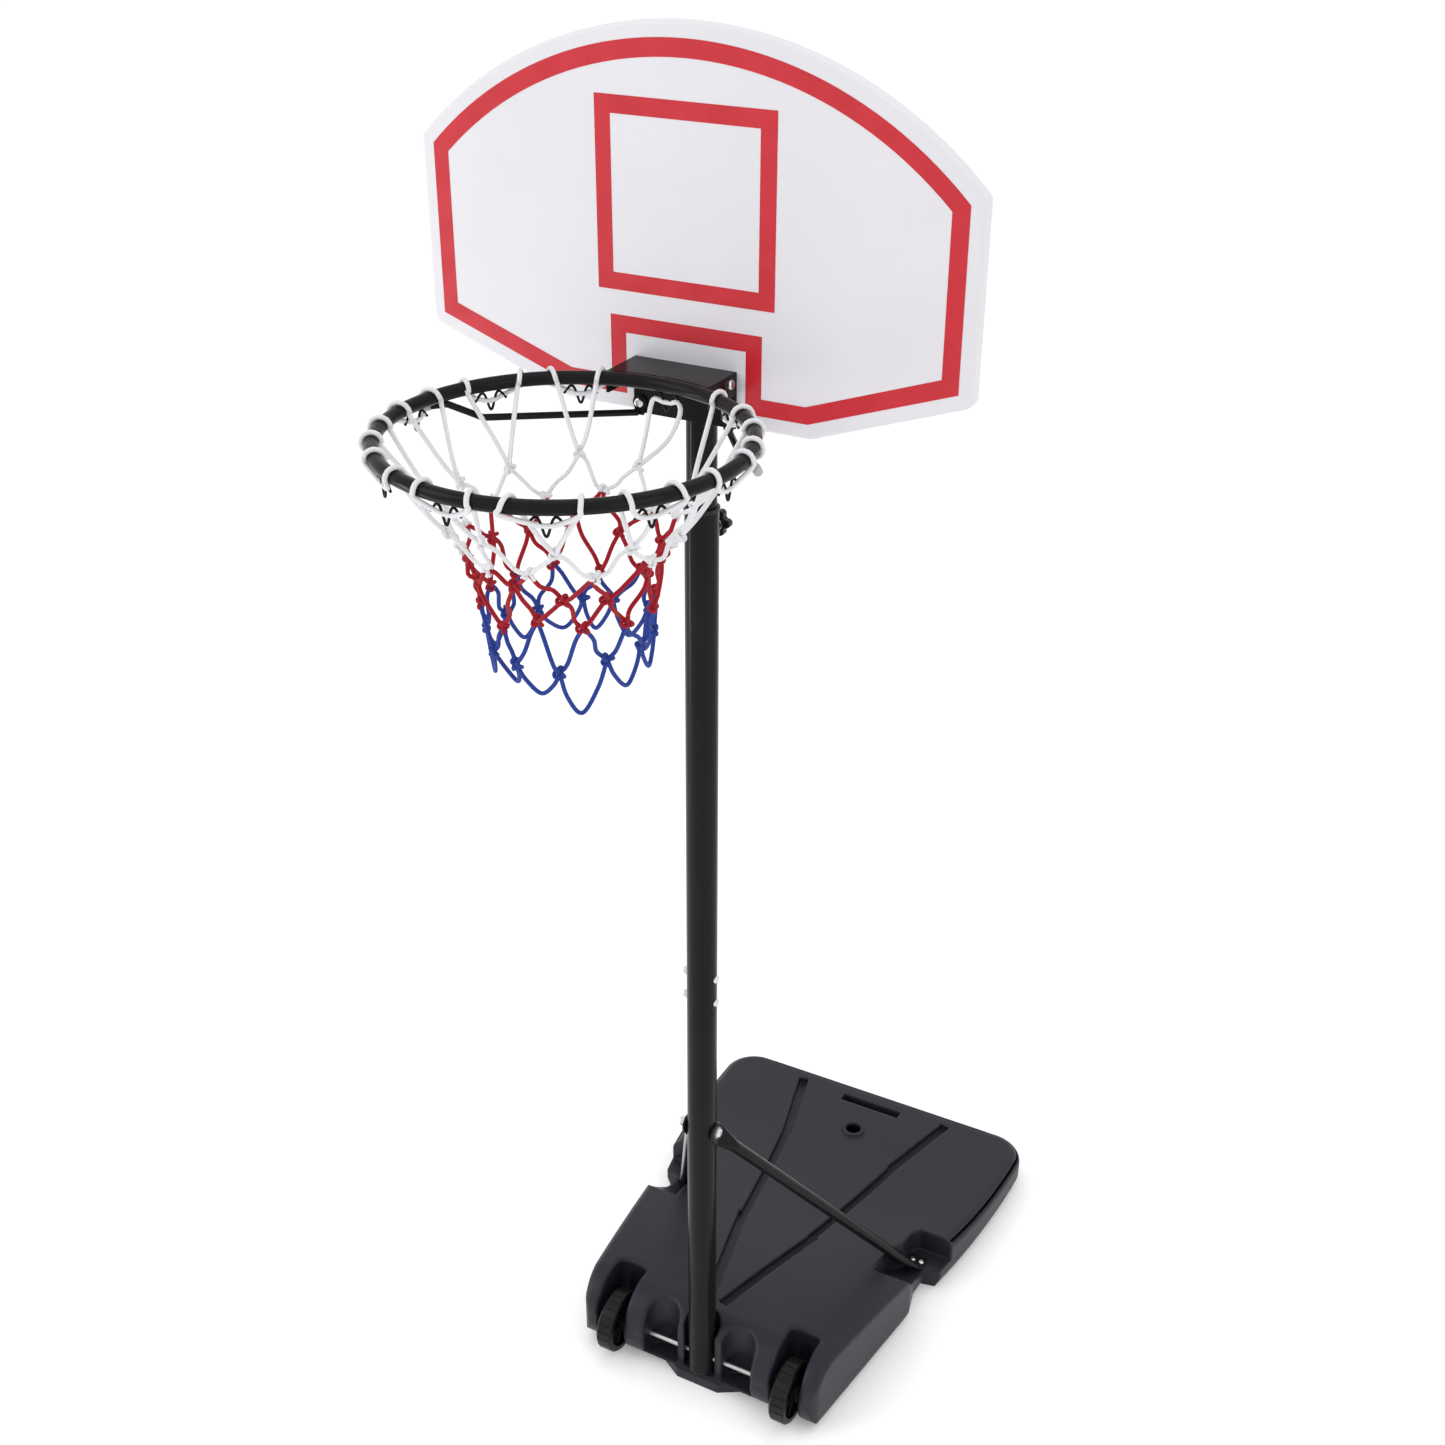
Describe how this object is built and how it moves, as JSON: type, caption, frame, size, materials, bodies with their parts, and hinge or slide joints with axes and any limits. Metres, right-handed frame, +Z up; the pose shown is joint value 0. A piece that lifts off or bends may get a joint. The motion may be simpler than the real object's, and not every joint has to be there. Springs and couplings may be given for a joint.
{
  "type": "portable basketball hoop",
  "caption": "Junior free-standing basketball hoop: arched board, ring with net, telescoping pole, braces and a wheeled fill tank.",
  "frame": {"origin": "on the floor under the pole's axis, on the flat underside of the tank's front tongue", "axes": "+Z up the pole, -Y from the board out over the ring, +X along the wheels' axle towards the clamp knob's side"},
  "size_m": [0.7, 1.212, 2.0469],
  "materials": {
    "tank_plastic": "fine-grained charcoal",
    "wheel_plastic": "satin black",
    "black_steel": "gloss black",
    "black_plastic": "satin black",
    "zinc_steel": "bright zinc",
    "chrome_fasteners": "polished",
    "board_plastic": "smooth off-white",
    "stripe_red": "smooth printed red",
    "cap_plastic": "light grey",
    "net_cord": "braided cord"
  },
  "bodies": {
    "base": {"base_tank": "tank_plastic", "pole_foot_cap": "black_plastic", "lower_pole": "black_steel", "middle_pole": "black_steel", "joint_bolts": "chrome_fasteners", "joint_nuts": "chrome_fasteners", "pole_collar": "black_plastic", "knob_boss": "black_steel", "brace_left": "black_steel", "brace_right": "black_steel", "brace_bolt": "chrome_fasteners", "brace_washers": "zinc_steel", "brace_nut": "chrome_fasteners", "foot_screws": "chrome_fasteners", "axle_rod": "zinc_steel", "wheel_spacers": "black_plastic"},
    "left_wheel": {"wheel_left": "wheel_plastic"},
    "right_wheel": {"wheel_right": "wheel_plastic"},
    "mast": {"upper_pole": "black_steel", "mast_plug": "black_plastic", "mast_bush": "black_plastic", "pole_bracket": "black_steel", "mast_bolts": "chrome_fasteners", "mast_nuts": "chrome_fasteners", "board_shell": "board_plastic", "board_graphic": "stripe_red", "rim_bracket": "black_steel", "rim_ring": "black_steel", "net_hooks": "black_steel", "strut_left": "black_steel", "strut_right": "black_steel", "strut_caps": "cap_plastic", "bracket_bolts": "chrome_fasteners", "bracket_nuts": "chrome_fasteners", "tie_bolt": "chrome_fasteners", "tie_nut": "chrome_fasteners", "net": "net_cord"},
    "knob_carriage": {"knob_washer": "zinc_steel"},
    "knob": {"clamp_knob": "black_plastic", "knob_screw": "zinc_steel"}
  },
  "joints": [
    {"name": "left_wheel_spin", "type": "hinge", "parent": "base", "child": "left_wheel", "pos_m": [-0.154, 0, 0.051], "axis": [1, 0, 0], "continuous": true},
    {"name": "right_wheel_spin", "type": "hinge", "parent": "base", "child": "right_wheel", "pos_m": [0.154, 0, 0.051], "axis": [1, 0, 0], "continuous": true},
    {"name": "height_slide", "type": "slide", "parent": "base", "child": "mast", "axis": [0, 0, 1], "range_m": [-0.08, 0.4]},
    {"name": "knob_travel", "type": "slide", "parent": "base", "child": "knob_carriage", "axis": [0, 1, 0], "range_m": [0, 0.0045]},
    {"name": "knob_turn", "type": "hinge", "parent": "knob_carriage", "child": "knob", "pos_m": [0, 0.03, 1.452], "axis": [0, 1, 0], "range_deg": [0, 1080]}
  ],
  "couplings": [
    {"joint": "knob_turn", "follows": "knob_travel", "rad_per_m": 4188.8}
  ]
}
